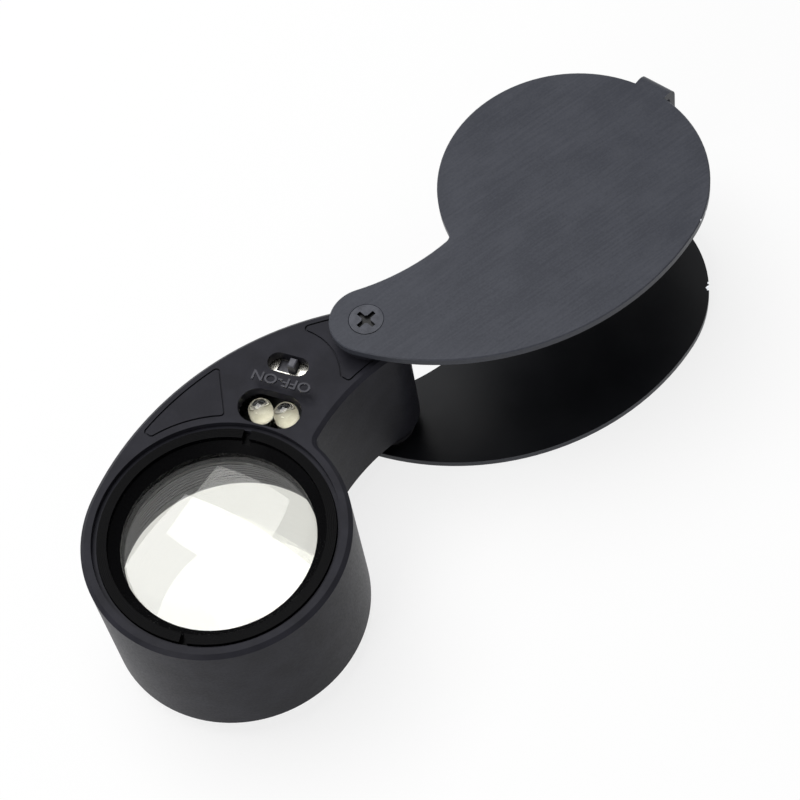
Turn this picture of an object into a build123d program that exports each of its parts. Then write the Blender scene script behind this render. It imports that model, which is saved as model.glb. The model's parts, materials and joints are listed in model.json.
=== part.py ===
from build123d import *

import os
from collections import namedtuple
from math import atan2, cos, degrees, hypot, radians, sin, sqrt

os.makedirs("parts", exist_ok=True)

# Folding lit hand lens, lying on its cover with the lens swung out. Millimetres.
# Origin: under the centre of the cover's round end, on the outer face of its lower plate.
# X runs from the pivot towards that centre, Z is up along the pivot and the lens axis.

# Outline of a comma-shaped plate: a round end, a small tail about the pivot, one long outer arc that
# touches both, and a hollow side that passes the centre line at the waist.
Comma = namedtuple("Comma", "disc tail arc hollow waist corner")
pivot_distance = 34.75
cover_shape = Comma(disc=18.5, tail=5.0, arc=38.0, hollow=31.0, waist=2.95, corner=1.3)
disc_margin = 0.8
body_shape = Comma(
    disc=cover_shape.disc - disc_margin, tail=4.8, arc=42.0, hollow=31.0, waist=2.7, corner=1.3
)

# Cover: one sheet, cut and bent into two plates and a strap
case_height = 28.4
sheet = 1.2
plate_bevel = 0.15
strap_angle = 16.0
strap_width = 4.8
strap_gap = 1.4
strap_overlap = 6.0
bend_radius = 0.7

# Lens body
plate_gap = 2.6
body_bevel = 0.55
open_angle = 160.6
wall = 1.5
roof = 1.6
barrel_wall = 0.9
cavity_end = -8.0

# Pivot
sleeve_radius = 2.25
sleeve_bore = 1.25
running_clearance = 0.05
screw_head_radius = 2.3
screw_head_gap = 0.12
screw_length = 7.0
cross_span = 3.0
cross_width = 0.6
cross_middle = 0.62
cross_depth = 0.6
cross_turn = 8.0
boss_radius = 4.0
boss_height = 1.6
pivot_wall = 2.0
washer_radius = 3.8
washer_gap = 0.1

# Lens stack
ring_radius = 15.6
ring_depth = 3.2
ring_recess = 0.45
ring_mouth = 14.3
ring_land = 0.8
ring_throat = 1.0
mouth_groove_width = 0.55
mouth_groove_depth = 0.9
notch_width = 1.0
notch_depth = 1.1
notch_turn = 21.0
lens_radius = 13.6
lens_edge = 2.2
lens_curve = 60.0
lens_lip = 0.75
lens_clearance = 0.1
seat_clearance = 0.03
spacer_wall = 1.0
groove_pitch = 1.1
groove_width = 0.5
groove_depth = 0.25

# Light: window, lamps, board and slide switch, all set along one slanted line
slant = -76.0
window_centre = (-18.5, -4.85)
window_length = 8.8
window_width = 5.2
lamp_slant = -69.0
lamp_offset = -0.6
lamp_radius = 1.68
lamp_gap = 0.04
lamp_height = 5.2
lamp_flange = 0.9
lamp_lip = 0.05
lamp_recess = 0.3
lead_size = 0.45
lead_spacing = 1.5
lead_clearance = 0.05
slot_centre = (-25.35, -6.75)
slot_length = 5.8
slot_width = 2.9
switch_offset = (0.45, -0.62)
switch_length = 6.9
switch_width = 3.6
switch_height = 3.6
switch_sheet = 0.3
switch_window = 1.9
switch_floor = 1.2
switch_travel = 1.5
slider_length = 4.6
slider_height = 1.8
slider_clearance = 0.15
lever_length = 1.0
lever_width = 1.4
lever_drop = 0.35
lever_bevel = 0.14
terminal_size = 0.6
terminal_thickness = 0.3
terminal_spacing = 2.2
board_thickness = 1.0
board_clearance = 0.25
board_shoulder = 0.7
chip_centre = (-19.6, -10.4)
chip_length = 3.2
chip_width = 1.6
chip_height = 0.6
chip_bevel = 0.1

# Batteries and the underside
cell_centre = (-23.4, -5.7)
cell_radius = 5.8
cell_height = 3.05
cell_count = 3
cell_cap_radius = 4.4
cell_cap_height = 0.35
cell_rounding = 0.3
cell_gap = 0.1
spring_wire = 0.25
spring_turns = 3
spring_top_radius = 4.7
spring_end_radius = 2.0
strip_width = 3.0
strip_thickness = 0.3
strip_foot = 1.6
base_thickness = 1.5
base_rim = 0.8
base_clearance = 0.1
door_flange = 0.65
door_step = 0.8
door_slot_length = 8.0
door_slot_width = 1.3
door_slot_depth = 0.7
post_radius = 1.9
post_centres = [(-15.6, -12.9), (-28.9, 0.6)]
post_screw_radius = 0.75
post_head_radius = 1.35
post_head_height = 0.8
post_screw_length = 6.0
post_slot_width = 0.4
post_slot_depth = 0.35

# Panels outlined by a narrow groove in the upper face
panel_depth = 0.3
panel_line = 0.24
panel_margin = 1.15
panel_corner = 0.6
barrel_panel_gap = 1.5
barrel_panel_limits = [(-6.8, -25), (-6.8, -8), (-13.2, -8), (-20.8, -14.9), (-20.8, -25)]
pivot_panel_edge = -27.3
pivot_panel_hollow = 8.4
pivot_panel_hollow_centre = (-22.5, -6.5)

# Levels and radii that follow from the sizes above
body_base = sheet + plate_gap
body_top = case_height - body_base
body_height = body_top - body_base
hole_radius = sleeve_radius + running_clearance
pivot_wall_radius = hole_radius + pivot_wall
bore_radius = lens_radius + lens_clearance
ring_bore = ring_radius + lens_clearance
aperture = lens_radius - lens_lip
cavity_radius = ring_bore + barrel_wall
ledge = body_base + base_thickness
cavity_top = body_top - roof
board_top = body_top - lamp_recess - lamp_height
board_base = board_top - board_thickness
cells_base = ledge + cell_gap
cells_top = cells_base + cell_count * cell_height
spacer_base = body_base + ring_depth + lens_edge
spacer_top = body_top - ring_depth - lens_edge
switch_top = board_top + switch_height
swing_radius = pivot_distance + body_shape.disc
clip_span = 2 * (body_shape.arc + body_shape.hollow)

standing = (Align.CENTER, Align.CENTER, Align.MIN)
hanging = (Align.CENTER, Align.CENTER, Align.MAX)


def body_plane(level, x=0.0, y=0.0, turn=0.0):
    """Level plane on the lens body. x and y are measured from the lens axis, x away from the pivot."""
    swing = radians(-open_angle)
    reach = x + pivot_distance
    origin = (
        reach * cos(swing) - y * sin(swing) - pivot_distance,
        reach * sin(swing) + y * cos(swing),
        level,
    )
    facing = radians(turn - open_angle)
    return Plane(origin=origin, x_dir=(cos(facing), sin(facing), 0), z_dir=(0, 0, 1))


def upright_plane(x=0.0, y=0.0, turn=0.0):
    """Upright plane through the same point of the lens body, its own Y along world Z."""
    flat = body_plane(0, x, y, turn)
    return Plane(origin=flat.origin, x_dir=flat.x_dir, z_dir=(flat.x_dir.Y, -flat.x_dir.X, 0))


def off_centre(centre, turn, along, across=0.0):
    """Point on the lens body, along the line at angle turn through centre and across it to the left."""
    x, y = centre
    return (
        x + along * cos(radians(turn)) - across * sin(radians(turn)),
        y + along * sin(radians(turn)) + across * cos(radians(turn)),
    )


def along_slant(centre, distance):
    """Point on the lens body at a distance from centre towards the switch's ON end."""
    return off_centre(centre, slant, distance)


def outer_arc_centre(shape):
    """Centre of the arc that touches the round end and the tail from outside."""
    to_disc = shape.arc - shape.disc
    to_tail = shape.arc - shape.tail
    x = (to_tail**2 - to_disc**2 - pivot_distance**2) / (2 * pivot_distance)
    return x, sqrt(to_disc**2 - x**2)


def hollow_centre(shape):
    """Centre of the hollow side, which touches the tail and clears the centre line by the waist."""
    y = shape.waist + shape.hollow
    return sqrt((shape.hollow + shape.tail) ** 2 - y**2) - pivot_distance, y


def comma(sketch, shape, inset=0.0):
    """Adds the outline's face to the sketch, moved inwards by inset."""
    arc_x, arc_y = outer_arc_centre(shape)
    hollow_x, hollow_y = hollow_centre(shape)
    disc = shape.disc - inset
    tail = shape.tail - inset
    hollow = shape.hollow + inset
    arc_at_disc = degrees(atan2(-arc_y, -arc_x))
    arc_at_tail = degrees(atan2(-arc_y, -pivot_distance - arc_x))
    tail_at_hollow = degrees(atan2(hollow_y, hollow_x + pivot_distance))
    # the corner where the hollow side runs into the round end
    apart = hypot(hollow_x, hollow_y)
    along = (disc**2 - hollow**2 + apart**2) / (2 * apart)
    across = sqrt(disc**2 - along**2)
    corner_x = (along * hollow_x - across * hollow_y) / apart
    corner_y = (along * hollow_y + across * hollow_x) / apart
    disc_at_corner = degrees(atan2(corner_y, corner_x))
    hollow_at_corner = degrees(atan2(corner_y - hollow_y, corner_x - hollow_x))
    with BuildLine() as outline:
        CenterArc((arc_x, arc_y), shape.arc - inset, arc_at_tail, arc_at_disc - arc_at_tail)
        CenterArc((0, 0), disc, arc_at_disc, disc_at_corner - arc_at_disc)
        CenterArc((hollow_x, hollow_y), hollow, hollow_at_corner, tail_at_hollow - 180 - hollow_at_corner)
        CenterArc((-pivot_distance, 0), tail, tail_at_hollow, arc_at_tail + 360 - tail_at_hollow)
    make_face(outline.edges())
    corner = sketch.vertices().sort_by_distance((corner_x, corner_y))[0]
    fillet(corner, shape.corner + inset)


def tail_region(sketch, inset, clearance=0.0, end=cavity_end):
    """Adds the part of the lens body's outline between the barrel and the pivot, as far as x = end."""
    comma(sketch, body_shape, inset + clearance)
    Circle(cavity_radius + clearance, mode=Mode.SUBTRACT)
    with Locations((-pivot_distance, 0)):
        Circle(pivot_wall_radius + clearance, mode=Mode.SUBTRACT)
    with Locations((end - clearance - pivot_distance / 2, 0)):
        Rectangle(pivot_distance, clip_span, mode=Mode.INTERSECT)


def lens_sag(radius):
    """Depth of the lens curve at a radius, below its crown."""
    return lens_curve - sqrt(lens_curve**2 - radius**2)


lip_relief = lens_sag(lens_radius) - lens_sag(aperture) + seat_clearance
spacer_bore = lens_radius - spacer_wall
spacer_relief = lens_sag(lens_radius) - lens_sag(spacer_bore) + seat_clearance
lens_axis = Axis(body_plane(0).origin, (0, 0, 1))

# Cover: two plates joined by the bent strap, which stands outside the circle the lens body sweeps
strap_inside = sqrt((swing_radius + strap_gap) ** 2 - (pivot_distance * sin(radians(strap_angle))) ** 2)
strap_middle = strap_inside - pivot_distance * cos(radians(strap_angle)) + sheet / 2
strap_plane = Plane(
    origin=(0, 0, 0),
    x_dir=(cos(radians(strap_angle)), sin(radians(strap_angle)), 0),
    z_dir=(sin(radians(strap_angle)), -cos(radians(strap_angle)), 0),
)
with BuildPart() as cover:
    for level in (0, case_height - sheet):
        with BuildSketch(Plane.XY.offset(level)) as plate:
            comma(plate, cover_shape)
        extrude(amount=sheet)
    plate_faces = cover.faces().filter_by(Axis.Z).sort_by(Axis.Z)
    outer_edges = plate_faces[0].outer_wire().edges() + plate_faces[-1].outer_wire().edges()
    chamfer(outer_edges, plate_bevel)
    with BuildSketch(strap_plane):
        with BuildLine():
            FilletPolyline(
                (cover_shape.disc - strap_overlap, sheet / 2),
                (strap_middle, sheet / 2),
                (strap_middle, case_height - sheet / 2),
                (cover_shape.disc - strap_overlap, case_height - sheet / 2),
                radius=bend_radius + sheet / 2,
            )
        trace(line_width=sheet)
    extrude(amount=strap_width / 2, both=True)
    for level, out in ((0, -1), (case_height, 1)):
        with Locations(Plane(origin=(-pivot_distance, 0, level), x_dir=(1, 0, 0), z_dir=(0, 0, out))):
            CounterSinkHole(sleeve_bore, screw_head_radius + screw_head_gap, sheet)
cover.part.label = "cover"
export_step(cover.part, "parts/cover.step")

# Pivot: a tapped sleeve clamped between the plates by two countersunk screws
with BuildPart(Plane(origin=(-pivot_distance, 0, sheet))) as pivot_sleeve:
    Cylinder(sleeve_radius, case_height - 2 * sheet, align=standing)
    Hole(sleeve_bore)
pivot_sleeve.part.label = "pivot_sleeve"
export_step(pivot_sleeve.part, "parts/pivot_sleeve.step")

screw_shank_radius = sleeve_bore - running_clearance
screw_head_depth = screw_head_radius - screw_shank_radius


def countersunk_screw(plane):
    """Cross-recessed screw whose flat head lies in the plane and whose shank runs behind it."""
    with BuildPart(plane) as screw:
        Cone(screw_shank_radius, screw_head_radius, screw_head_depth, align=hanging)
        with Locations((0, 0, -screw_head_depth)):
            Cylinder(screw_shank_radius, screw_length - screw_head_depth, align=hanging)
        with BuildSketch(plane):
            Rectangle(cross_span, cross_width, rotation=cross_turn)
            Rectangle(cross_width, cross_span, rotation=cross_turn)
            Circle(cross_middle)
        extrude(amount=-cross_depth, mode=Mode.SUBTRACT)
    return screw


pivot_screw_top = countersunk_screw(Plane(origin=(-pivot_distance, 0, case_height)))
pivot_screw_top.part.label = "pivot_screw_top"
export_step(pivot_screw_top.part, "parts/pivot_screw_top.step")
under_pivot = Plane(origin=(-pivot_distance, 0, 0), x_dir=(1, 0, 0), z_dir=(0, 0, -1))
pivot_screw_bottom = countersunk_screw(under_pivot)
pivot_screw_bottom.part.label = "pivot_screw_bottom"
export_step(pivot_screw_bottom.part, "parts/pivot_screw_bottom.step")

# Friction washers fill the space between the plates and the bosses of the lens body
washer_thickness = body_base - sheet - boss_height - washer_gap
for name, level in (
    ("pivot_washer_top", case_height - sheet - washer_thickness),
    ("pivot_washer_bottom", sheet),
):
    with BuildPart(Plane(origin=(-pivot_distance, 0, level))) as pivot_washer:
        Cylinder(washer_radius, washer_thickness, align=standing)
        Hole(hole_radius)
    pivot_washer.part.label = name
    export_step(pivot_washer.part, f"parts/{name}.step")

# Lens housing: barrel and comma-shaped tail in one moulding, open underneath for the works
with BuildPart() as lens_housing:
    with BuildSketch(body_plane(body_base)) as outline:
        comma(outline, body_shape)
    extrude(amount=body_height)
    end_faces = lens_housing.faces().filter_by(Axis.Z).sort_by(Axis.Z)
    chamfer(end_faces[0].outer_wire().edges() + end_faces[-1].outer_wire().edges(), body_bevel)
    with BuildSketch(body_plane(body_base - boss_height, -pivot_distance)):
        Circle(boss_radius)
    extrude(amount=body_height + 2 * boss_height)
    with BuildSketch(body_plane(body_base - boss_height, -pivot_distance)):
        Circle(hole_radius)
    extrude(amount=body_height + 2 * boss_height, mode=Mode.SUBTRACT)
    # barrel: the lens bore, opened at both ends for the rings
    with BuildSketch(body_plane(body_base)):
        Circle(bore_radius)
    extrude(amount=body_height, mode=Mode.SUBTRACT)
    for level in (body_base, body_top - ring_depth):
        with BuildSketch(body_plane(level)):
            Circle(ring_bore)
        extrude(amount=ring_depth, mode=Mode.SUBTRACT)
    # a step round each mouth, outside the ring
    for level in (body_base, body_top - mouth_groove_depth):
        with BuildSketch(body_plane(level)):
            Circle(ring_bore + mouth_groove_width)
        extrude(amount=mouth_groove_depth, mode=Mode.SUBTRACT)
    # works cavity: the posts widen above the board, which rests against their shoulders
    for low, high, post in (
        (ledge, board_top, post_radius),
        (board_top, cavity_top, post_radius + board_shoulder),
    ):
        with BuildSketch(body_plane(low)) as cavity:
            tail_region(cavity, wall)
            with Locations(*post_centres):
                Circle(post, mode=Mode.SUBTRACT)
        extrude(amount=high - low, mode=Mode.SUBTRACT)
    with BuildSketch(body_plane(body_base)) as base_seat:
        tail_region(base_seat, base_rim)
    extrude(amount=base_thickness, mode=Mode.SUBTRACT)
    with BuildSketch(body_plane(ledge)):
        with Locations(*post_centres):
            Circle(post_screw_radius)
    extrude(amount=post_screw_length, mode=Mode.SUBTRACT)
    # openings in the upper face, over the lamps and the switch lever
    with BuildSketch(body_plane(cavity_top, *window_centre, slant)):
        SlotOverall(window_length, window_width)
    extrude(amount=roof, mode=Mode.SUBTRACT)
    with BuildSketch(body_plane(cavity_top, *slot_centre, slant)):
        SlotOverall(slot_length, slot_width)
    extrude(amount=roof, mode=Mode.SUBTRACT)
    # grooved outlines of two panels: one beside the barrel, one round the pivot boss
    with BuildSketch(body_plane(body_top - panel_depth)) as barrel_panel:
        comma(barrel_panel, body_shape, panel_margin)
        Circle(ring_bore + barrel_panel_gap, mode=Mode.SUBTRACT)
        with BuildLine(mode=Mode.PRIVATE) as limits:
            Polyline(*barrel_panel_limits, close=True)
        add(make_face(limits.line, mode=Mode.PRIVATE), mode=Mode.INTERSECT)
        fillet(barrel_panel.vertices(), panel_corner)
        offset(amount=-panel_line, mode=Mode.SUBTRACT)
    extrude(amount=panel_depth, mode=Mode.SUBTRACT)
    with BuildSketch(body_plane(body_top - panel_depth)) as pivot_panel:
        comma(pivot_panel, body_shape, panel_margin)
        with Locations(pivot_panel_hollow_centre):
            Circle(pivot_panel_hollow, mode=Mode.SUBTRACT)
        with Locations((pivot_panel_edge - pivot_distance / 2, 0)):
            Rectangle(pivot_distance, clip_span, mode=Mode.INTERSECT)
        fillet(pivot_panel.vertices(), panel_corner)
        offset(amount=-panel_line, mode=Mode.SUBTRACT)
        with Locations((-pivot_distance, 0)):
            Circle(boss_radius, mode=Mode.SUBTRACT)
    extrude(amount=panel_depth, mode=Mode.SUBTRACT)
lens_housing.part.label = "lens_housing"
export_step(lens_housing.part, "parts/lens_housing.step")

# Lens stack, from the top: ring, eye lens, spacer, field lens, ring
ring_height = ring_depth - ring_recess


def retaining_ring(seat, out):
    """Threaded ring that bears on the lens at level seat and opens towards out, +1 up or -1 down."""
    with BuildPart() as ring:
        with BuildSketch(upright_plane()):
            with BuildLine():
                Polyline(
                    (ring_radius, seat),
                    (ring_radius, seat + out * ring_height),
                    (ring_mouth, seat + out * ring_height),
                    (ring_mouth, seat + out * (ring_height - ring_land)),
                    (aperture, seat + out * ring_throat),
                    (aperture, seat + out * lip_relief),
                    (lens_radius, seat),
                    close=True,
                )
            make_face()
        revolve(axis=lens_axis)
        with BuildSketch(body_plane(seat + out * ring_height, turn=notch_turn)):
            Rectangle(2 * ring_bore, notch_width)
        extrude(amount=-out * notch_depth, mode=Mode.SUBTRACT)
    return ring


top_lens_ring = retaining_ring(body_top - ring_depth, 1)
top_lens_ring.part.label = "top_lens_ring"
export_step(top_lens_ring.part, "parts/top_lens_ring.step")
bottom_lens_ring = retaining_ring(body_base + ring_depth, -1)
bottom_lens_ring.part.label = "bottom_lens_ring"
export_step(bottom_lens_ring.part, "parts/bottom_lens_ring.step")

for name, level in (("eye_lens", spacer_top), ("field_lens", spacer_base - lens_edge)):
    crown = lens_sag(lens_radius)
    with BuildPart() as lens:
        with BuildSketch(upright_plane()):
            with BuildLine():
                half_top = ThreePointArc(
                    (lens_radius, level + lens_edge),
                    (lens_radius / 2, level + lens_edge + crown - lens_sag(lens_radius / 2)),
                    (0, level + lens_edge + crown),
                )
                Line(half_top @ 1, (0, level - crown))
                half_bottom = ThreePointArc(
                    (0, level - crown),
                    (lens_radius / 2, level - crown + lens_sag(lens_radius / 2)),
                    (lens_radius, level),
                )
                Line(half_bottom @ 1, half_top @ 0)
            make_face()
        revolve(axis=lens_axis)
    lens.part.label = name
    export_step(lens.part, f"parts/{name}.step")

spacer_height = spacer_top - spacer_base
groove_count = int((spacer_height - 2 * spacer_relief - groove_pitch) / groove_pitch)
with BuildPart() as lens_spacer:
    with BuildSketch(upright_plane()):
        with BuildLine():
            Polyline(
                (lens_radius, spacer_base),
                (lens_radius, spacer_top),
                (spacer_bore, spacer_top - spacer_relief),
                (spacer_bore, spacer_base + spacer_relief),
                close=True,
            )
        make_face()
        with Locations((spacer_bore, (spacer_base + spacer_top) / 2)):
            with GridLocations(0, groove_pitch, 1, groove_count):
                Rectangle(2 * groove_depth, groove_width, mode=Mode.SUBTRACT)
    revolve(axis=lens_axis)
lens_spacer.part.label = "lens_spacer"
export_step(lens_spacer.part, "parts/lens_spacer.step")

# Circuit board, resting against the shoulders of the posts
lamp_middle = off_centre(window_centre, slant, 0, lamp_offset)
lamp_spacing = 2 * (lamp_radius + lamp_lip) + lamp_gap
lamp_centres = [off_centre(lamp_middle, lamp_slant, side * lamp_spacing / 2) for side in (-1, 1)]
switch_centre = off_centre(slot_centre, slant, *switch_offset)
with BuildPart() as circuit_board:
    with BuildSketch(body_plane(board_base), mode=Mode.PRIVATE) as board_outline:
        tail_region(board_outline, wall, board_clearance, end=post_centres[0][0])
        with Locations(*post_centres):
            Circle(post_radius + board_clearance, mode=Mode.SUBTRACT)
    # the posts cut small corners off the region, and the board is what lies between them
    extrude(board_outline.sketch.faces().sort_by(SortBy.AREA)[-1], amount=board_thickness)
    for centre in lamp_centres:
        with BuildSketch(body_plane(board_base, *centre, slant)):
            with GridLocations(0, lead_spacing, 1, 2):
                Circle(hypot(lead_size, lead_size) / 2 + lead_clearance)
        extrude(amount=board_thickness, mode=Mode.SUBTRACT)
    with BuildSketch(body_plane(board_base, *switch_centre, slant)):
        with GridLocations(terminal_spacing, 0, 3, 1):
            Circle(hypot(terminal_size, terminal_thickness) / 2 + lead_clearance)
    extrude(amount=board_thickness, mode=Mode.SUBTRACT)
circuit_board.part.label = "circuit_board"
export_step(circuit_board.part, "parts/circuit_board.step")

with BuildPart(body_plane(board_top, *chip_centre)) as chip_resistor:
    Box(chip_length, chip_width, chip_height, align=standing)
    chamfer(chip_resistor.faces().sort_by(Axis.Z)[-1].edges(), chip_bevel)
chip_resistor.part.label = "chip_resistor"
export_step(chip_resistor.part, "parts/chip_resistor.step")

# Two clear round-nosed lamps on the board, with their leads through it
for name, centre in zip(("lamp_off_side", "lamp_on_side"), lamp_centres):
    with BuildPart(body_plane(board_top, *centre)) as lamp:
        Cylinder(lamp_radius + lamp_lip, lamp_flange, align=standing)
        Cylinder(lamp_radius, lamp_height - lamp_radius, align=standing)
        with Locations((0, 0, lamp_height - lamp_radius)):
            Sphere(lamp_radius)
    lamp.part.label = name
    export_step(lamp.part, f"parts/{name}.step")

with BuildPart() as lamp_leads:
    for centre in lamp_centres:
        with BuildSketch(body_plane(board_base, *centre, slant)):
            with GridLocations(0, lead_spacing, 1, 2):
                Rectangle(lead_size, lead_size)
        extrude(amount=board_thickness)
lamp_leads.part.label = "lamp_leads"
export_step(lamp_leads.part, "parts/lamp_leads.step")

# Slide switch: pressed steel shell over a plastic floor, three terminals, and the lever at its OFF end
lever_window = lever_length + switch_travel + 2 * slider_clearance
with BuildPart() as switch_shell:
    with BuildSketch(body_plane(board_top, *switch_centre, slant)):
        Rectangle(switch_length, switch_width)
    extrude(amount=switch_height)
    with BuildSketch(body_plane(board_top, *switch_centre, slant)):
        Rectangle(switch_length - 2 * switch_sheet, switch_width - 2 * switch_sheet)
    extrude(amount=switch_height - switch_sheet, mode=Mode.SUBTRACT)
    with BuildSketch(body_plane(switch_top - switch_sheet, *switch_centre, slant)):
        Rectangle(lever_window, switch_window)
    extrude(amount=switch_sheet, mode=Mode.SUBTRACT)
switch_shell.part.label = "switch_shell"
export_step(switch_shell.part, "parts/switch_shell.step")

with BuildPart() as switch_floor_block:
    with BuildSketch(body_plane(board_top, *switch_centre, slant)):
        Rectangle(switch_length - 2 * switch_sheet, switch_width - 2 * switch_sheet)
    extrude(amount=switch_floor)
switch_floor_block.part.label = "switch_floor_block"
export_step(switch_floor_block.part, "parts/switch_floor_block.step")

with BuildPart() as switch_terminals:
    with BuildSketch(body_plane(board_base, *switch_centre, slant)):
        with GridLocations(terminal_spacing, 0, 3, 1):
            Rectangle(terminal_size, terminal_thickness)
    extrude(amount=board_thickness)
switch_terminals.part.label = "switch_terminals"
export_step(switch_terminals.part, "parts/switch_terminals.step")

lever_centre = along_slant(switch_centre, -switch_travel / 2)
slider_base = board_top + switch_floor + slider_clearance / 2
with BuildPart() as switch_lever:
    with BuildSketch(body_plane(slider_base, *lever_centre, slant)):
        Rectangle(slider_length, switch_width - 2 * switch_sheet - 2 * slider_clearance)
    extrude(amount=slider_height)
    with BuildSketch(body_plane(slider_base, *lever_centre, slant)):
        Rectangle(lever_length, lever_width)
    extrude(amount=body_top - lever_drop - slider_base)
    chamfer(switch_lever.faces().sort_by(Axis.Z)[-1].edges(), lever_bevel)
switch_lever.part.label = "switch_lever"
export_step(switch_lever.part, "parts/switch_lever.step")

# Button cells, stacked cap up over the battery door
for number in range(cell_count):
    can_height = cell_height - cell_cap_height
    with BuildPart(body_plane(cells_base + number * cell_height, *cell_centre)) as button_cell:
        Cylinder(cell_radius, can_height, align=standing)
        fillet(button_cell.edges(), cell_rounding)
        with Locations((0, 0, can_height)):
            Cylinder(cell_cap_radius, cell_cap_height, align=standing)
    name = f"button_cell_{number + 1}"
    button_cell.part.label = name
    export_step(button_cell.part, f"parts/{name}.step")

# Cone spring from the board to the top cell's cap
spring_rise = board_base - cells_top - 2 * spring_wire
spring_flare = degrees(atan2(spring_top_radius - spring_end_radius, spring_rise))
spring_foot = body_plane(cells_top + spring_wire, *cell_centre)
with BuildPart() as battery_spring:
    with BuildLine(spring_foot):
        coil = Helix(spring_rise / spring_turns, spring_rise, spring_end_radius, cone_angle=spring_flare)
    with BuildSketch(Plane(origin=coil @ 0, z_dir=coil % 0)):
        Circle(spring_wire)
    sweep(path=coil, is_frenet=True)
battery_spring.part.label = "battery_spring"
export_step(battery_spring.part, "parts/battery_spring.step")

# Side contact: a strip that touches the cells' cans, its foot soldered under the board
strip_plane = upright_plane(*cell_centre)
strip_x = -(cell_radius + cell_gap)
with BuildPart() as battery_strip:
    with BuildSketch(strip_plane):
        with BuildLine():
            Polyline(
                (strip_x, cells_base + strip_thickness),
                (strip_x, board_base),
                (strip_x - strip_foot, board_base),
                (strip_x - strip_foot, board_base - strip_thickness),
                (strip_x - strip_thickness, board_base - strip_thickness),
                (strip_x - strip_thickness, cells_base + strip_thickness),
                close=True,
            )
        make_face()
    extrude(amount=strip_width / 2, both=True)
battery_strip.part.label = "battery_strip"
export_step(battery_strip.part, "parts/battery_strip.step")

# Underside: a base cover on two screws, with a round battery door in it
door_radius = cell_radius + door_flange
plug_radius = cell_radius + base_clearance
with BuildPart() as base_cover:
    with BuildSketch(body_plane(body_base)) as base_outline:
        tail_region(base_outline, base_rim, base_clearance)
    extrude(amount=base_thickness)
    with BuildSketch(body_plane(body_base, *cell_centre)):
        Circle(door_radius + base_clearance)
    extrude(amount=door_step + base_clearance, mode=Mode.SUBTRACT)
    with BuildSketch(body_plane(body_base, *cell_centre)):
        Circle(plug_radius + base_clearance)
    extrude(amount=base_thickness, mode=Mode.SUBTRACT)
    with BuildSketch(body_plane(body_base)):
        with Locations(*post_centres):
            Circle(post_head_radius + base_clearance)
    extrude(amount=post_head_height, mode=Mode.SUBTRACT)
    with BuildSketch(body_plane(body_base)):
        with Locations(*post_centres):
            Circle(post_screw_radius + base_clearance)
    extrude(amount=base_thickness, mode=Mode.SUBTRACT)
base_cover.part.label = "base_cover"
export_step(base_cover.part, "parts/base_cover.step")

with BuildPart() as battery_door:
    with BuildSketch(body_plane(body_base, *cell_centre)):
        Circle(door_radius)
    extrude(amount=door_step)
    with BuildSketch(body_plane(body_base, *cell_centre)):
        Circle(plug_radius)
    extrude(amount=base_thickness)
    with BuildSketch(body_plane(body_base, *cell_centre)):
        SlotOverall(door_slot_length, door_slot_width)
    extrude(amount=door_slot_depth, mode=Mode.SUBTRACT)
battery_door.part.label = "battery_door"
export_step(battery_door.part, "parts/battery_door.step")

with BuildPart() as base_screws:
    with BuildSketch(body_plane(body_base)):
        with Locations(*post_centres):
            Circle(post_head_radius)
    extrude(amount=post_head_height)
    with BuildSketch(body_plane(body_base)):
        with Locations(*post_centres):
            Circle(post_screw_radius - running_clearance)
    extrude(amount=post_screw_length)
    with BuildSketch(body_plane(body_base)):
        with Locations(*post_centres):
            Rectangle(2 * post_head_radius, post_slot_width)
    extrude(amount=post_slot_depth, mode=Mode.SUBTRACT)
base_screws.part.label = "base_screws"
export_step(base_screws.part, "parts/base_screws.step")
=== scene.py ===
import json
import math
import bmesh
import bpy
from mathutils import Matrix, Vector


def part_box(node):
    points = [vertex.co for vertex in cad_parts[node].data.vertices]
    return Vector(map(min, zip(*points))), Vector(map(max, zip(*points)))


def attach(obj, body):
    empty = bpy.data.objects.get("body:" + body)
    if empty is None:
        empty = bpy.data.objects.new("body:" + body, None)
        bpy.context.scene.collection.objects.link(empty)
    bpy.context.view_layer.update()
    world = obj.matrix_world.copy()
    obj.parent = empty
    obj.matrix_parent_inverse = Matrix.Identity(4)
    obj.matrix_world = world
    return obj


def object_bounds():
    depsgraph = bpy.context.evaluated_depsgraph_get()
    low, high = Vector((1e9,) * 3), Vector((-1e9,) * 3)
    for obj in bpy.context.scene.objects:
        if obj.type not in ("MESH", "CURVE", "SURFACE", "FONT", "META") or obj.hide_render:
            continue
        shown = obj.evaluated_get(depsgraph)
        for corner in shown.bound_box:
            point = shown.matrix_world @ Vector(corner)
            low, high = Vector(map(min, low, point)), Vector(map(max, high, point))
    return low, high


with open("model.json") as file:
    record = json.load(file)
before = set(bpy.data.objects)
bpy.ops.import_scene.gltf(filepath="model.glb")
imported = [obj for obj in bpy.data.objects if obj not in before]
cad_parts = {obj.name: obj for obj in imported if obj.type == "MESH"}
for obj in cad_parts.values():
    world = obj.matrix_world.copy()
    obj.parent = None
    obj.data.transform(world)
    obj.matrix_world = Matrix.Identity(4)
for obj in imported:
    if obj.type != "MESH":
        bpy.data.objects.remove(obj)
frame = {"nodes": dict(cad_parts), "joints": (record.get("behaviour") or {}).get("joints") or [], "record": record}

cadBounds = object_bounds()
mm = 0.001
up = Vector((0, 0, 1))


def joint(name):
    return next(j for j in frame["joints"] if j["name"] == name)


def middleOf(node):
    low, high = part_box(node)
    return (low + high) / 2


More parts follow.
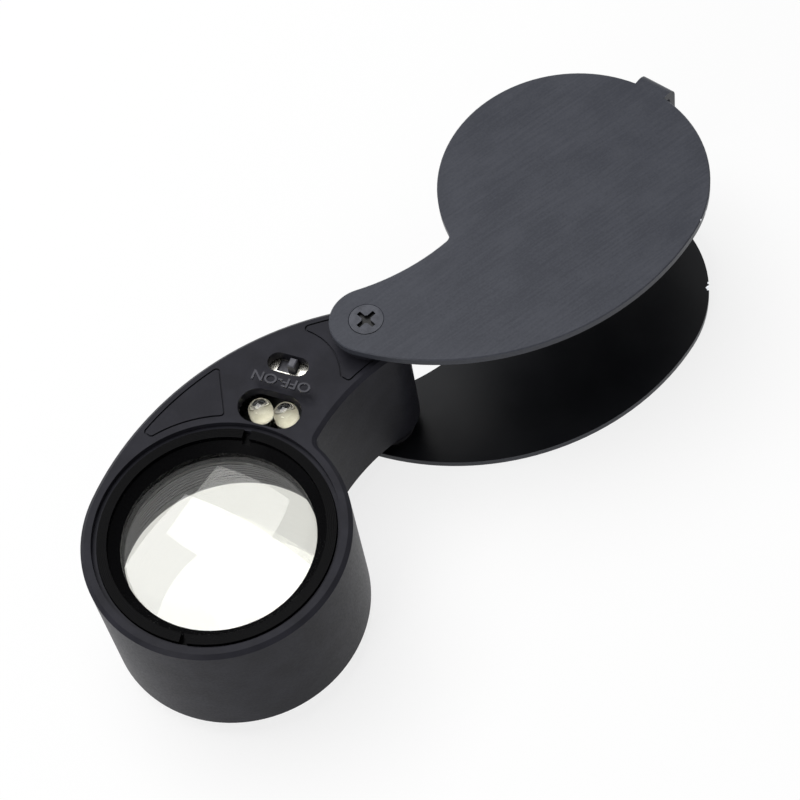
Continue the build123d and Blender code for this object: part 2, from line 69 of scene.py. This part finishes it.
# directions of the swung-out lens body, from the frame
pivot = Vector(joint("lens_swing")["pos_m"])
towardsOn = Vector(joint("switch_slide")["axis"])
lensCentre = middleOf("eye_lens")
towardsBarrel = up.cross(towardsOn)
coverLow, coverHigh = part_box("cover")
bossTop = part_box("lens_housing")[1].z  # the pivot boss stands 1.6 mm above the body's own top face
print("frame loaded, lens axis at", [round(v, 5) for v in lensCentre])


# ---- camera, floor and light

cameraView = {
    "target": (-0.030955, 0.00267, 0.0),
    "azimuth": -26.17,
    "elevation": 58.5,
    "roll": -11.68,
    "distance": 0.337,
    "focalLength": 105.8,
    "sensor": 36.0,
    "nearest": 0.01,  # what lies closer or farther than these isn't drawn
    "farthest": 50,
}


def makeCamera():
    azimuth = math.radians(cameraView["azimuth"])
    elevation = math.radians(cameraView["elevation"])
    roll = math.radians(cameraView["roll"])
    back = Vector((
        math.sin(azimuth) * math.cos(elevation),
        -math.cos(azimuth) * math.cos(elevation),
        math.sin(elevation),
    ))
    level = Vector((math.cos(azimuth), math.sin(azimuth), 0))
    rise = back.cross(level)
    right = level * math.cos(roll) + rise * math.sin(roll)
    rise = back.cross(right)
    data = bpy.data.cameras.new("camera")
    data.lens = cameraView["focalLength"]
    data.sensor_width = cameraView["sensor"]
    data.clip_start = cameraView["nearest"]
    data.clip_end = cameraView["farthest"]
    camera = bpy.data.objects.new("camera", data)
    bpy.context.scene.collection.objects.link(camera)
    place = Vector(cameraView["target"]) + back * cameraView["distance"]
    turn = Matrix((right, rise, back)).transposed().to_4x4()
    camera.matrix_world = Matrix.Translation(place) @ turn
    bpy.context.scene.camera = camera


makeCamera()


def addNode(tree, kind, inputs=None, to=None, stops=None, **settings):
    node = tree.nodes.new(kind)
    for name, value in settings.items():
        setattr(node, name, value)
    for name, value in (inputs or {}).items():
        if isinstance(value, bpy.types.NodeSocket):
            tree.links.new(value, node.inputs[name])
        else:
            node.inputs[name].default_value = value
    for i, (place, colour) in enumerate(stops or []):  # a colour ramp has two stops to begin with
        stop = node.color_ramp.elements[i]
        stop.position = place
        stop.color = linear(colour)
    if to:
        tree.links.new(node.outputs[0], to)
    return node


def linear(hexColour):
    channels = [int(hexColour[i:i + 2], 16) / 255 for i in (0, 2, 4)]
    rgb = [c / 12.92 if c <= 0.04045 else ((c + 0.055) / 1.055) ** 2.4 for c in channels]
    return (*rgb, 1.0)


studio = {
    "floorSize": 6.0,
    "floorColour": "f6f6f6",
    "floorShown": 0.8,  # share of plain white in what the camera, gloss and glass see of the floor
    "worldLight": 0.14,
    "lamps": [
        # name, place, aimed at, size, power
        ("overheadSoftbox", (-0.15, 0.30, 1.0), (-0.03, 0.0, 0.0), 0.9, 11.8),
        ("sideSoftbox", (-0.9, -0.35, 0.45), (-0.05, -0.01, 0.01), 0.4, 2.4),
    ],
}


def seenAsBackdrop(tree):
    # one where the camera, a reflection or a glass sees the surface, zero where it only lights
    path = addNode(tree, "ShaderNodeLightPath")
    seen = path.outputs["Is Camera Ray"]
    for ray in ("Is Transmission Ray", "Is Glossy Ray"):
        larger = addNode(tree, "ShaderNodeMath", {0: seen, 1: path.outputs[ray]}, operation="MAXIMUM")
        seen = larger.outputs[0]
    return seen


def makeStudio():
    world = bpy.data.worlds.new("studioWorld")
    bpy.context.scene.world = world
    world.use_nodes = True
    tree = world.node_tree
    tree.nodes.clear()
    strength = addNode(tree, "ShaderNodeMapRange", {
        "Value": seenAsBackdrop(tree),
        "To Min": studio["worldLight"],
        "To Max": 1.0,
    })
    background = addNode(tree, "ShaderNodeBackground", {
        "Color": linear("ffffff"),
        "Strength": strength.outputs[0],
    })
    addNode(tree, "ShaderNodeOutputWorld", {"Surface": background.outputs[0]})

    bpy.ops.mesh.primitive_plane_add(size=studio["floorSize"], location=(0, 0, cadBounds[0].z))
    floor = bpy.context.object
    floor.name = "studioFloor"
    paper = bpy.data.materials.new("paleStudioPaper")
    paper.use_nodes = True
    tree = paper.node_tree
    tree.nodes.clear()
    matte = addNode(tree, "ShaderNodeBsdfDiffuse", {"Color": linear(studio["floorColour"])})
    white = addNode(tree, "ShaderNodeEmission", {"Color": linear("ffffff"), "Strength": 1.0})
    share = addNode(tree, "ShaderNodeMath", {
        0: seenAsBackdrop(tree),
        1: studio["floorShown"],
    }, operation="MULTIPLY")
    mixed = addNode(tree, "ShaderNodeMixShader", {
        0: share.outputs[0],
        1: matte.outputs[0],
        2: white.outputs[0],
    })
    addNode(tree, "ShaderNodeOutputMaterial", {"Surface": mixed.outputs[0]})
    floor.data.materials.append(paper)

    for name, place, aim, size, power in studio["lamps"]:
        data = bpy.data.lights.new(name, "AREA")
        data.energy = power
        data.size = size
        lamp = bpy.data.objects.new(name, data)
        bpy.context.scene.collection.objects.link(lamp)
        lamp.location = place
        lamp.rotation_euler = (Vector(aim) - Vector(place)).to_track_quat("-Z", "Y").to_euler()


makeStudio()
bpy.context.scene.view_settings.view_transform = "Standard"
print("studio ready")


# ---- materials

noiseDetail = 3.0
noiseRange = (0.3, 0.7)  # where nearly all of a noise texture's values lie
toneStops = (0.35, 0.65)


def newMaterial(name):
    material = bpy.data.materials.new(name)
    material.use_nodes = True
    tree = material.node_tree
    tree.nodes.clear()
    shader = addNode(tree, "ShaderNodeBsdfPrincipled")
    addNode(tree, "ShaderNodeOutputMaterial", {"Surface": shader.outputs[0]})
    place = addNode(tree, "ShaderNodeTexCoord").outputs["Object"]
    return material, tree, shader, place


coverPaint = {
    "dark": "393b42",
    "light": "42444b",
    "paintedInsideShade": "17181b",  # painted shade: the faces between the plates, drawn darker where little light reaches them
    "sheet": 1.2 * mm,  # thickness of the cover's sheet
    "insideMargin": 0.03 * mm,
    "chip": "d4d6da",
    "grain": 0.32 * mm,  # sprayed grain is finer than this, drawn coarse enough to show
    "grainDepth": 0.004 * mm,
    "streak": 0.3 * mm,
    "streakStretch": 0.05,
    "cloud": 6 * mm,
    "toneRange": (1.2, 1.8),  # of the sum of grain, cloud and streak
    "roughness": (0.3, 0.38),
    "specular": 0.11,
    "ragged": (1.3, 1.45),  # where a bare spot ends, in shares of its size, with the grain added
    # bare spots knocked into the rims of the plates: angle about the cover's round end, height, size
    "chips": [(-54.5, 27.3, 0.35), (-38.5, 1.15, 0.5), (-36.0, 1.15, 0.22), (-61.0, 28.2, 0.2)],
}


def makeCoverPaint():
    # satin baked enamel over steel sheet: bluish black, a fine sprayed grain over faint rolling marks
    material, tree, shader, place = newMaterial("satinBlackEnamelOnSteel")
    kind = coverPaint
    along = addNode(tree, "ShaderNodeMapping", {"Vector": place, "Scale": (kind["streakStretch"], 1, 1)})
    marks = []
    for where, width in (
            (place, kind["grain"]), (place, kind["cloud"]), (along.outputs[0], kind["streak"])):
        noise = addNode(tree, "ShaderNodeTexNoise", {
            "Vector": where,
            "Scale": 1 / width,
            "Detail": noiseDetail,
        })
        marks.append(noise.outputs["Fac"])
    grain, cloud, streak = marks
    both = addNode(tree, "ShaderNodeMath", {0: grain, 1: cloud}, operation="ADD")
    tone = addNode(tree, "ShaderNodeMath", {0: both.outputs[0], 1: streak}, operation="ADD").outputs[0]
    share = addNode(tree, "ShaderNodeMapRange", {
        "Value": tone,
        "From Min": kind["toneRange"][0],
        "From Max": kind["toneRange"][1],
    })
    paint = addNode(tree, "ShaderNodeValToRGB", {"Fac": share.outputs[0]},
                    stops=[(0, kind["dark"]), (1, kind["light"])])
    height = addNode(tree, "ShaderNodeSeparateXYZ", {0: place}).outputs["Z"]
    colour = paint.outputs[0]
    # painted shade: the upper face of the lower plate and the under face of the upper plate get the darker colour
    for level in (coverLow.z + kind["sheet"], coverHigh.z - kind["sheet"]):
        on = addNode(tree, "ShaderNodeMath", {
            0: height,
            1: level,
            2: kind["insideMargin"],
        }, operation="COMPARE")
        painted = addNode(tree, "ShaderNodeMix", {
            0: on.outputs[0],
            6: colour,
            7: linear(kind["paintedInsideShade"]),
        }, data_type="RGBA")
        colour = painted.outputs[2]
    nearest = 10.0  # in bare spot sizes: farther than the rim of any spot
    for angle, level, size in kind["chips"]:
        turn = math.radians(angle)
        spot = Vector((coverHigh.y * math.cos(turn), coverHigh.y * math.sin(turn), level * mm))
        away = addNode(tree, "ShaderNodeVectorMath", {0: place, 1: spot}, operation="DISTANCE")
        away = addNode(tree, "ShaderNodeMath", {0: away.outputs["Value"], 1: size * mm}, operation="DIVIDE")
        nearer = addNode(tree, "ShaderNodeMath", {0: away.outputs[0], 1: nearest}, operation="MINIMUM")
        nearest = nearer.outputs[0]
    edge = addNode(tree, "ShaderNodeMath", {0: nearest, 1: grain}, operation="ADD")
    bare = addNode(tree, "ShaderNodeMapRange", {
        "Value": edge.outputs[0],
        "From Min": kind["ragged"][1],
        "From Max": kind["ragged"][0],
    }, to=shader.inputs["Metallic"])
    worn = addNode(tree, "ShaderNodeMix", {
        0: bare.outputs[0],
        6: colour,
        7: linear(kind["chip"]),
    }, data_type="RGBA")
    tree.links.new(worn.outputs[2], shader.inputs["Base Color"])
    addNode(tree, "ShaderNodeMapRange", {
        "Value": cloud,
        "From Min": noiseRange[0],
        "From Max": noiseRange[1],
        "To Min": kind["roughness"][0],
        "To Max": kind["roughness"][1],
    }, to=shader.inputs["Roughness"])
    addNode(tree, "ShaderNodeBump", {
        "Height": tone,
        "Distance": kind["grainDepth"],
    }, to=shader.inputs["Normal"])
    shader.inputs["IOR"].default_value = 1.5
    shader.inputs["Specular IOR Level"].default_value = kind["specular"]
    return material


def mottle(tree, shader, place, kind):
    # what most finishes share: two tones in soft blotches, and a finer grain in gloss and height
    blotch = addNode(tree, "ShaderNodeTexNoise", {
        "Vector": place,
        "Scale": 1 / kind["blotch"],
        "Detail": noiseDetail,
    })
    grain = addNode(tree, "ShaderNodeTexNoise", {
        "Vector": place,
        "Scale": 1 / kind["grain"],
        "Detail": noiseDetail,
    })
    addNode(tree, "ShaderNodeValToRGB", {"Fac": blotch.outputs["Fac"]}, to=shader.inputs["Base Color"],
            stops=[(toneStops[0], kind["dark"]), (toneStops[1], kind["light"])])
    addNode(tree, "ShaderNodeMapRange", {
        "Value": grain.outputs["Fac"],
        "From Min": noiseRange[0],
        "From Max": noiseRange[1],
        "To Min": kind["roughness"][0],
        "To Max": kind["roughness"][1],
    }, to=shader.inputs["Roughness"])
    bump = addNode(tree, "ShaderNodeBump", {
        "Height": grain.outputs["Fac"],
        "Distance": kind["depth"],
    }, to=shader.inputs["Normal"])
    if "ior" in kind:
        shader.inputs["IOR"].default_value = kind["ior"]
    if "specular" in kind:
        shader.inputs["Specular IOR Level"].default_value = kind["specular"]
    return bump


def latheMarks(tree, shader, place, centre, kind, bump):
    # circular feed marks about an upright line, laid over the grain
    offset = addNode(tree, "ShaderNodeVectorMath", {0: place, 1: centre}, operation="SUBTRACT")
    flat = addNode(tree, "ShaderNodeVectorMath", {0: offset.outputs[0], 1: (1, 1, 0)}, operation="MULTIPLY")
    radius = addNode(tree, "ShaderNodeVectorMath", {0: flat.outputs[0]}, operation="LENGTH")
    height = addNode(tree, "ShaderNodeSeparateXYZ", {0: offset.outputs[0]})
    run = addNode(tree, "ShaderNodeMath", {
        0: radius.outputs["Value"],
        1: height.outputs["Z"],
    }, operation="ADD")
    phase = addNode(tree, "ShaderNodeMath", {
        0: run.outputs[0],
        1: 2 * math.pi / kind["feed"],
    }, operation="MULTIPLY")
    wave = addNode(tree, "ShaderNodeMath", {0: phase.outputs[0]}, operation="SINE")
    addNode(tree, "ShaderNodeBump", {
        "Height": wave.outputs[0],
        "Normal": bump.outputs[0],
        "Distance": kind["feedDepth"],
    }, to=shader.inputs["Normal"])


housingPlastic = {
    "dark": "222227",
    "light": "29292f",
    "blotch": 4 * mm,
    "grain": 0.35 * mm,  # spark-eroded mould grain, drawn coarser than the real 0.1 mm so that it shows
    "depth": 0.010 * mm,
    "roughness": (0.34, 0.44),
    "ior": 1.53,
    "specular": 0.05,
}


def makeHousingPlastic():
    # moulded ABS with a fine eroded texture: neutral black, low sheen
    material, tree, shader, place = newMaterial("mouldedBlackABS")
    mottle(tree, shader, place, housingPlastic)
    return material


letterPlastic = {
    "dark": "35353b",
    "light": "404047",
    "blotch": 0.8 * mm,
    "grain": 0.2 * mm,
    "depth": 0.004 * mm,
    "roughness": (0.3, 0.4),
    "ior": 1.53,
    "specular": 0.15,
}


def makeLetterPlastic():
    # the same ABS, drawn lighter and shinier on the raised letters
    material, tree, shader, place = newMaterial("lighterLetterABS")
    mottle(tree, shader, place, letterPlastic)
    return material


turnedRing = {
    "dark": "040405",  # one near black all over, so the finish shows by its gloss alone
    "light": "040405",
    "blotch": 1.5 * mm,
    "grain": 0.3 * mm,
    "depth": 0.003 * mm,
    "feed": 0.22 * mm,  # feed marks of the lathe, about twice their real pitch so that they show
    "feedDepth": 0.005 * mm,
    "roughness": (0.24, 0.32),
    "ior": 1.55,
    "specular": 0.02,
}


def makeTurnedRing():
    # black anodised aluminium, turned on a lathe: glossier than the plastic, with circular feed marks
    material, tree, shader, place = newMaterial("turnedBlackAnodisedAluminium")
    bump = mottle(tree, shader, place, turnedRing)
    latheMarks(tree, shader, place, lensCentre, turnedRing, bump)
    return material


spacerBlack = {
    "dark": "1c1c21",
    "light": "25252b",
    "blotch": 1.5 * mm,
    "grain": 0.6 * mm,
    "depth": 0.002 * mm,
    "roughness": (0.45, 0.55),
    "ior": 1.55,
    "specular": 0.15,
}


def makeSpacerBlack():
    # black anodised aluminium, left matte by a caustic etch so that the wall behind the glass stays quiet
    material, tree, shader, place = newMaterial("etchedBlackAnodisedAluminium")
    mottle(tree, shader, place, spacerBlack)
    return material


screwSteel = {
    "dark": "30323a",
    "light": "43454d",
    "blotch": 0.9 * mm,
    "grain": 0.12 * mm,
    "depth": 0.003 * mm,
    "roughness": (0.34, 0.5),
    "specular": 0.25,
    "paintedRecessShade": "040405",
    "headFace": 0.12 * mm,  # what lies deeper than this under a head's face is drawn near black: painted shade in the recess
}


def makeScrewSteel():
    # black oxide on steel: thin dark coating, lighter where a driver has rubbed, with painted shade in the recess
    material, tree, shader, place = newMaterial("blackOxideSteel")
    kind = screwSteel
    mottle(tree, shader, place, kind)
    # painted shade: every part of the screw deeper than the head's face, inside the cover's height, is drawn near
    # black
    middle = (coverLow.z + coverHigh.z) / 2
    reach = (coverHigh.z - coverLow.z) / 2 - kind["headFace"]
    height = addNode(tree, "ShaderNodeSeparateXYZ", {0: place})
    deep = addNode(tree, "ShaderNodeMath", {
        0: height.outputs["Z"],
        1: middle,
        2: reach,
    }, operation="COMPARE")
    shadedRecess = addNode(tree, "ShaderNodeMix", {
        0: deep.outputs[0],
        6: shader.inputs["Base Color"].links[0].from_socket,
        7: linear(kind["paintedRecessShade"]),
    }, data_type="RGBA")
    tree.links.new(shadedRecess.outputs[2], shader.inputs["Base Color"])
    return material


nickelPlate = {
    "dark": "b4b1a8",
    "light": "e6e3da",
    "blotch": 1.2 * mm,
    "grain": 0.15 * mm,
    "depth": 0.003 * mm,
    "roughness": (0.18, 0.34),
}


def makeNickelPlate():
    # nickel plate on pressed steel: warm bright metal, a little rippled by the press
    material, tree, shader, place = newMaterial("nickelPlatedSteel")
    mottle(tree, shader, place, nickelPlate)
    shader.inputs["Metallic"].default_value = 1.0
    return material


tinnedWire = {
    "dark": "9c9d9f",
    "light": "d8d9da",
    "blotch": 0.4 * mm,
    "grain": 0.2 * mm,
    "depth": 0.01 * mm,
    "roughness": (0.25, 0.5),
}


def makeTinnedWire():
    # tin on copper wire: soft white metal, dull where it was soldered
    material, tree, shader, place = newMaterial("tinnedCopperWire")
    mottle(tree, shader, place, tinnedWire)
    shader.inputs["Metallic"].default_value = 1.0
    return material


lensGlass = {
    "colour": "f5f5f1",
    "ior": 1.52,
    "roughness": (0.0, 0.02),
    "dust": 0.5 * mm,
    "dustDetail": 5.0,
    "dustRange": (0.68, 0.8),  # only the highest peaks of the noise are dust
}


def makeLensGlass():
    # polished crown glass: clear, with only a breath of dust to break the gloss
    material, tree, shader, place = newMaterial("polishedCrownGlass")
    kind = lensGlass
    dust = addNode(tree, "ShaderNodeTexNoise", {
        "Vector": place,
        "Scale": 1 / kind["dust"],
        "Detail": kind["dustDetail"],
    })
    addNode(tree, "ShaderNodeMapRange", {
        "Value": dust.outputs["Fac"],
        "From Min": kind["dustRange"][0],
        "From Max": kind["dustRange"][1],
        "To Min": kind["roughness"][0],
        "To Max": kind["roughness"][1],
    }, to=shader.inputs["Roughness"])
    shader.inputs["Base Color"].default_value = linear(kind["colour"])
    shader.inputs["Transmission Weight"].default_value = 1.0
    shader.inputs["IOR"].default_value = kind["ior"]
    return material


lampEpoxy = {
    "colour": "fdfcf6",
    "ior": 1.53,
    "roughness": (0.0, 0.03),
    "ripple": 0.8 * mm,
    "rippleDetail": 1.0,
    "depth": 0.01 * mm,
}


def makeLampEpoxy():
    # cast water-clear epoxy: glassy, faintly rippled where it met the mould
    material, tree, shader, place = newMaterial("castClearEpoxy")
    kind = lampEpoxy
    ripple = addNode(tree, "ShaderNodeTexNoise", {
        "Vector": place,
        "Scale": 1 / kind["ripple"],
        "Detail": kind["rippleDetail"],
    })
    addNode(tree, "ShaderNodeMapRange", {
        "Value": ripple.outputs["Fac"],
        "From Min": noiseRange[0],
        "From Max": noiseRange[1],
        "To Min": kind["roughness"][0],
        "To Max": kind["roughness"][1],
    }, to=shader.inputs["Roughness"])
    addNode(tree, "ShaderNodeBump", {
        "Height": ripple.outputs["Fac"],
        "Distance": kind["depth"],
    }, to=shader.inputs["Normal"])
    shader.inputs["Base Color"].default_value = linear(kind["colour"])
    shader.inputs["Transmission Weight"].default_value = 1.0
    shader.inputs["IOR"].default_value = kind["ior"]
    return material


phosphorSilicone = {
    "dark": "dfdac3",
    "light": "efebd8",
    "blotch": 0.5 * mm,
    "grain": 0.2 * mm,
    "depth": 0.01 * mm,
    "roughness": (0.5, 0.65),
    "ior": 1.41,
}


def makePhosphor():
    # cast phosphor in silicone: pale warm cream, matte, slightly grainy
    material, tree, shader, place = newMaterial("castPhosphorSilicone")
    mottle(tree, shader, place, phosphorSilicone)
    return material


leverNylon = {
    "dark": "46464c",
    "light": "58585f",
    "blotch": 0.5 * mm,
    "grain": 0.25 * mm,
    "depth": 0.01 * mm,
    "roughness": (0.4, 0.55),
    "ior": 1.53,
    "specular": 0.3,
}


def makeLeverPlastic():
    # moulded nylon, dark grey and waxy
    material, tree, shader, place = newMaterial("mouldedGreyNylon")
    mottle(tree, shader, place, leverNylon)
    return material


washerNylon = {
    "dark": "141416",
    "light": "222226",
    "blotch": 0.8 * mm,
    "grain": 0.3 * mm,
    "depth": 0.002 * mm,
    "feed": 0.3 * mm,
    "feedDepth": 0.004 * mm,
    "roughness": (0.4, 0.6),
    "ior": 1.53,
}


def makeWasherNylon():
    # black nylon sheet, stamped: waxy, with rings rubbed into it by the turning
    material, tree, shader, place = newMaterial("stampedBlackNylon")
    bump = mottle(tree, shader, place, washerNylon)
    latheMarks(tree, shader, place, pivot, washerNylon, bump)
    return material


boardLaminate = {
    "dark": "0d100e",
    "light": "191d1a",
    "cell": 0.6 * mm,  # pitch of the glass cloth
    "depth": 0.01 * mm,
    "roughness": 0.4,
    "specular": 0.25,
}


def makeBoardLaminate():
    # glass-cloth epoxy laminate under black solder mask: the weave shows faintly through
    material, tree, shader, place = newMaterial("wovenGlassLaminate")
    kind = boardLaminate
    parts = addNode(tree, "ShaderNodeSeparateXYZ", {0: place})
    weave = 1.0
    for axis in ("X", "Y"):
        phase = addNode(tree, "ShaderNodeMath", {0: parts.outputs[axis], 1: 2 * math.pi / kind["cell"]},
                        operation="MULTIPLY")
        thread = addNode(tree, "ShaderNodeMath", {0: phase.outputs[0]}, operation="SINE")
        crossed = addNode(tree, "ShaderNodeMath", {0: thread.outputs[0], 1: weave}, operation="MULTIPLY")
        weave = crossed.outputs[0]
    share = addNode(tree, "ShaderNodeMapRange", {"Value": weave, "From Min": -1.0})
    addNode(tree, "ShaderNodeValToRGB", {"Fac": share.outputs[0]}, to=shader.inputs["Base Color"],
            stops=[(0, kind["dark"]), (1, kind["light"])])
    addNode(tree, "ShaderNodeBump", {
        "Height": weave,
        "Distance": kind["depth"],
    }, to=shader.inputs["Normal"])
    shader.inputs["Roughness"].default_value = kind["roughness"]
    shader.inputs["Specular IOR Level"].default_value = kind["specular"]
    return material


chipCeramic = {
    "dark": "0f0f10",
    "light": "202022",
    "blotch": 0.5 * mm,
    "grain": 0.2 * mm,
    "depth": 0.002 * mm,
    "roughness": (0.2, 0.35),
    "ior": 1.7,
}


def makeChipCeramic():
    # glazed alumina with a black resist layer
    material, tree, shader, place = newMaterial("glazedBlackAlumina")
    mottle(tree, shader, place, chipCeramic)
    return material


finishes = {
    "cover_paint": makeCoverPaint(),
    "housing_plastic": makeHousingPlastic(),
    "ring_black": makeTurnedRing(),
    "black_steel": makeScrewSteel(),
    "plated_steel": makeNickelPlate(),
    "cell_steel": makeNickelPlate(),
    "tinned_wire": makeTinnedWire(),
    "lens_glass": makeLensGlass(),
    "lamp_epoxy": makeLampEpoxy(),
    "lever_plastic": makeLeverPlastic(),
    "nylon": makeWasherNylon(),
    "board_laminate": makeBoardLaminate(),
    "chip_ceramic": makeChipCeramic(),
}
phosphor = makePhosphor()
spacerFinish = makeSpacerBlack()
letterFinish = makeLetterPlastic()
for part in frame["record"]["subparts"]:
    node = frame["nodes"][part["node"]]
    node.data.materials.clear()
    node.data.materials.append(finishes[part["material_slot"]])
frame["nodes"]["lens_spacer"].data.materials[0] = spacerFinish
print("materials on", len(frame["nodes"]), "parts")


# ---- new pieces

def onlySelect(piece):
    bpy.ops.object.select_all(action="DESELECT")
    piece.select_set(True)
    bpy.context.view_layer.objects.active = piece


def settle(piece):
    onlySelect(piece)
    bpy.ops.object.transform_apply(location=True, rotation=True, scale=True)


lettering = {
    "text": "OFF-ON",
    "capHeight": 1.45 * mm,
    "length": 8.2 * mm,
    "raised": 0.3 * mm,
    "sunk": 0.05 * mm,
    "swell": 0.012,  # thickens the strokes, in shares of the letter size
    "fromLens": 22.5 * mm,  # from the lens axis towards the pivot
    "along": -0.4 * mm,  # towards ON
    "anyDepth": 0.1,  # gives the flat letters some depth, which is then scaled to the real one
}


def makeLettering():
    bpy.ops.object.select_all(action="DESELECT")
    bpy.ops.object.text_add()
    letters = bpy.context.object
    letters.name = "offOnLettering"
    letters.data.body = lettering["text"]
    letters.data.offset = lettering["swell"]
    letters.data.extrude = lettering["anyDepth"]
    onlySelect(letters)
    bpy.ops.object.convert(target="MESH")
    letters = bpy.context.object
    points = [v.co for v in letters.data.vertices]
    low = Vector([min(p[i] for p in points) for i in range(3)])
    high = Vector([max(p[i] for p in points) for i in range(3)])
    size = high - low
    rise = lettering["raised"] + lettering["sunk"]
    spot = lensCentre - towardsBarrel * lettering["fromLens"] + towardsOn * lettering["along"]
    # level with the boss, so the letters stand clear of the face under them, where they should touch it
    spot.z = bossTop - lettering["sunk"] + rise / 2
    letters.matrix_world = (
        Matrix.Translation(spot)
        @ Matrix((towardsOn, towardsBarrel, up)).transposed().to_4x4()
        @ Matrix.Diagonal((lettering["length"] / size.x, lettering["capHeight"] / size.y, rise / size.z, 1))
        @ Matrix.Translation(-(low + high) / 2)
    )
    settle(letters)
    letters.data.materials.clear()
    letters.data.materials.append(letterFinish)
    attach(letters, "lens_body")


makeLettering()
print("lettering done")


lampWorks = {
    "cupRadius": 1.1 * mm,
    "cupBase": 1.0 * mm,  # above the board, like the levels below
    "cupTop": 2.2 * mm,
    "cupWall": 0.1 * mm,
    "cupDepth": 0.8 * mm,
    "cupFloor": 0.75,  # radius of the cup's floor against its mouth
    "dropCrown": 0.28 * mm,
    "crownSteps": 6,
    "crownTip": 0.12,  # radius of the crown's last ring against its first
    "gap": 0.02 * mm,
    "cupBevel": 0.03 * mm,
    "dropBevel": 0.015 * mm,
    "sides": 64,
    "bevelSegments": 3,
    "smoothAngle": 35,
    "levelNormal": 0.99,  # a face whose normal rises more than this looks straight up
}


def upFaces(mesh):
    # faces of the mesh in edit mode that look straight up, highest first
    mesh.faces.ensure_lookup_table()
    flat = [f for f in mesh.faces if f.normal.z > lampWorks["levelNormal"]]
    return sorted(flat, key=lambda f: -f.calc_center_median().z)


def selectTop(piece):
    bpy.ops.mesh.select_mode(type="FACE")
    bpy.ops.mesh.select_all(action="DESELECT")
    mesh = bmesh.from_edit_mesh(piece.data)
    upFaces(mesh)[0].select = True
    mesh.select_flush_mode()
    bmesh.update_edit_mesh(piece.data)


def startCylinder(name, radius, low, high, centre):
    bpy.ops.object.select_all(action="DESELECT")
    bpy.ops.mesh.primitive_cylinder_add(
        vertices=lampWorks["sides"],
        radius=radius,
        depth=high - low,
        location=(centre.x, centre.y, (low + high) / 2),
    )
    piece = bpy.context.object
    piece.name = name
    bpy.ops.object.mode_set(mode="EDIT")
    selectTop(piece)
    return piece


def finishPiece(piece, finish, body, bevel):
    bpy.ops.object.mode_set(mode="OBJECT")
    settle(piece)
    rounding = piece.modifiers.new("rounding", "BEVEL")
    rounding.width = bevel
    rounding.segments = lampWorks["bevelSegments"]
    rounding.limit_method = "ANGLE"
    bpy.ops.object.modifier_apply(modifier=rounding.name)
    bpy.ops.object.shade_smooth_by_angle(angle=math.radians(lampWorks["smoothAngle"]))
    piece.data.materials.clear()
    piece.data.materials.append(finish)
    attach(piece, body)


def makeLampWorks(node, side):
    # inside each clear lamp: a bright cup on the lead, filled with a crowned drop of phosphor
    kind = lampWorks
    low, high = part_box(node)
    centre = (low + high) / 2
    base = low.z + kind["cupBase"]
    top = low.z + kind["cupTop"]
    cup = startCylinder("lampCup" + side, kind["cupRadius"], base, top, centre)
    bpy.ops.mesh.inset(thickness=kind["cupWall"])
    bpy.ops.mesh.extrude_region_move(TRANSFORM_OT_translate={"value": (0, 0, -kind["cupDepth"])})
    bpy.ops.transform.resize(
        value=(kind["cupFloor"], kind["cupFloor"], 1), center_override=(centre.x, centre.y, top))
    finishPiece(cup, finishes["plated_steel"], "lens_body", kind["cupBevel"])

    mouth = kind["cupRadius"] - kind["cupWall"] - kind["gap"]
    foot = top - kind["cupDepth"] + kind["gap"]
    drop = startCylinder("phosphorDrop" + side, mouth * kind["cupFloor"], foot, top - kind["gap"], centre)
    spread = 1 / kind["cupFloor"]
    bpy.ops.transform.resize(value=(spread, spread, 1), center_override=(centre.x, centre.y, top))
    for step in range(kind["crownSteps"]):
        # a round crown: each ring is drawn in and lifted along an arc
        start = math.pi / 2 * step / kind["crownSteps"]
        end = math.pi / 2 * (step + 1) / kind["crownSteps"]
        before = math.cos(start)
        now = max(math.cos(end), kind["crownTip"])
        lift = kind["dropCrown"] * (math.sin(end) - math.sin(start))
        bpy.ops.mesh.extrude_region_move(TRANSFORM_OT_translate={"value": (0, 0, lift)})
        bpy.ops.transform.resize(
            value=(now / before, now / before, 1), center_override=(centre.x, centre.y, top))
    finishPiece(drop, phosphor, "lens_body", kind["dropBevel"])


for node, side in (("lamp_off_side", "OffSide"), ("lamp_on_side", "OnSide")):
    makeLampWorks(node, side)
print("lamp works done")
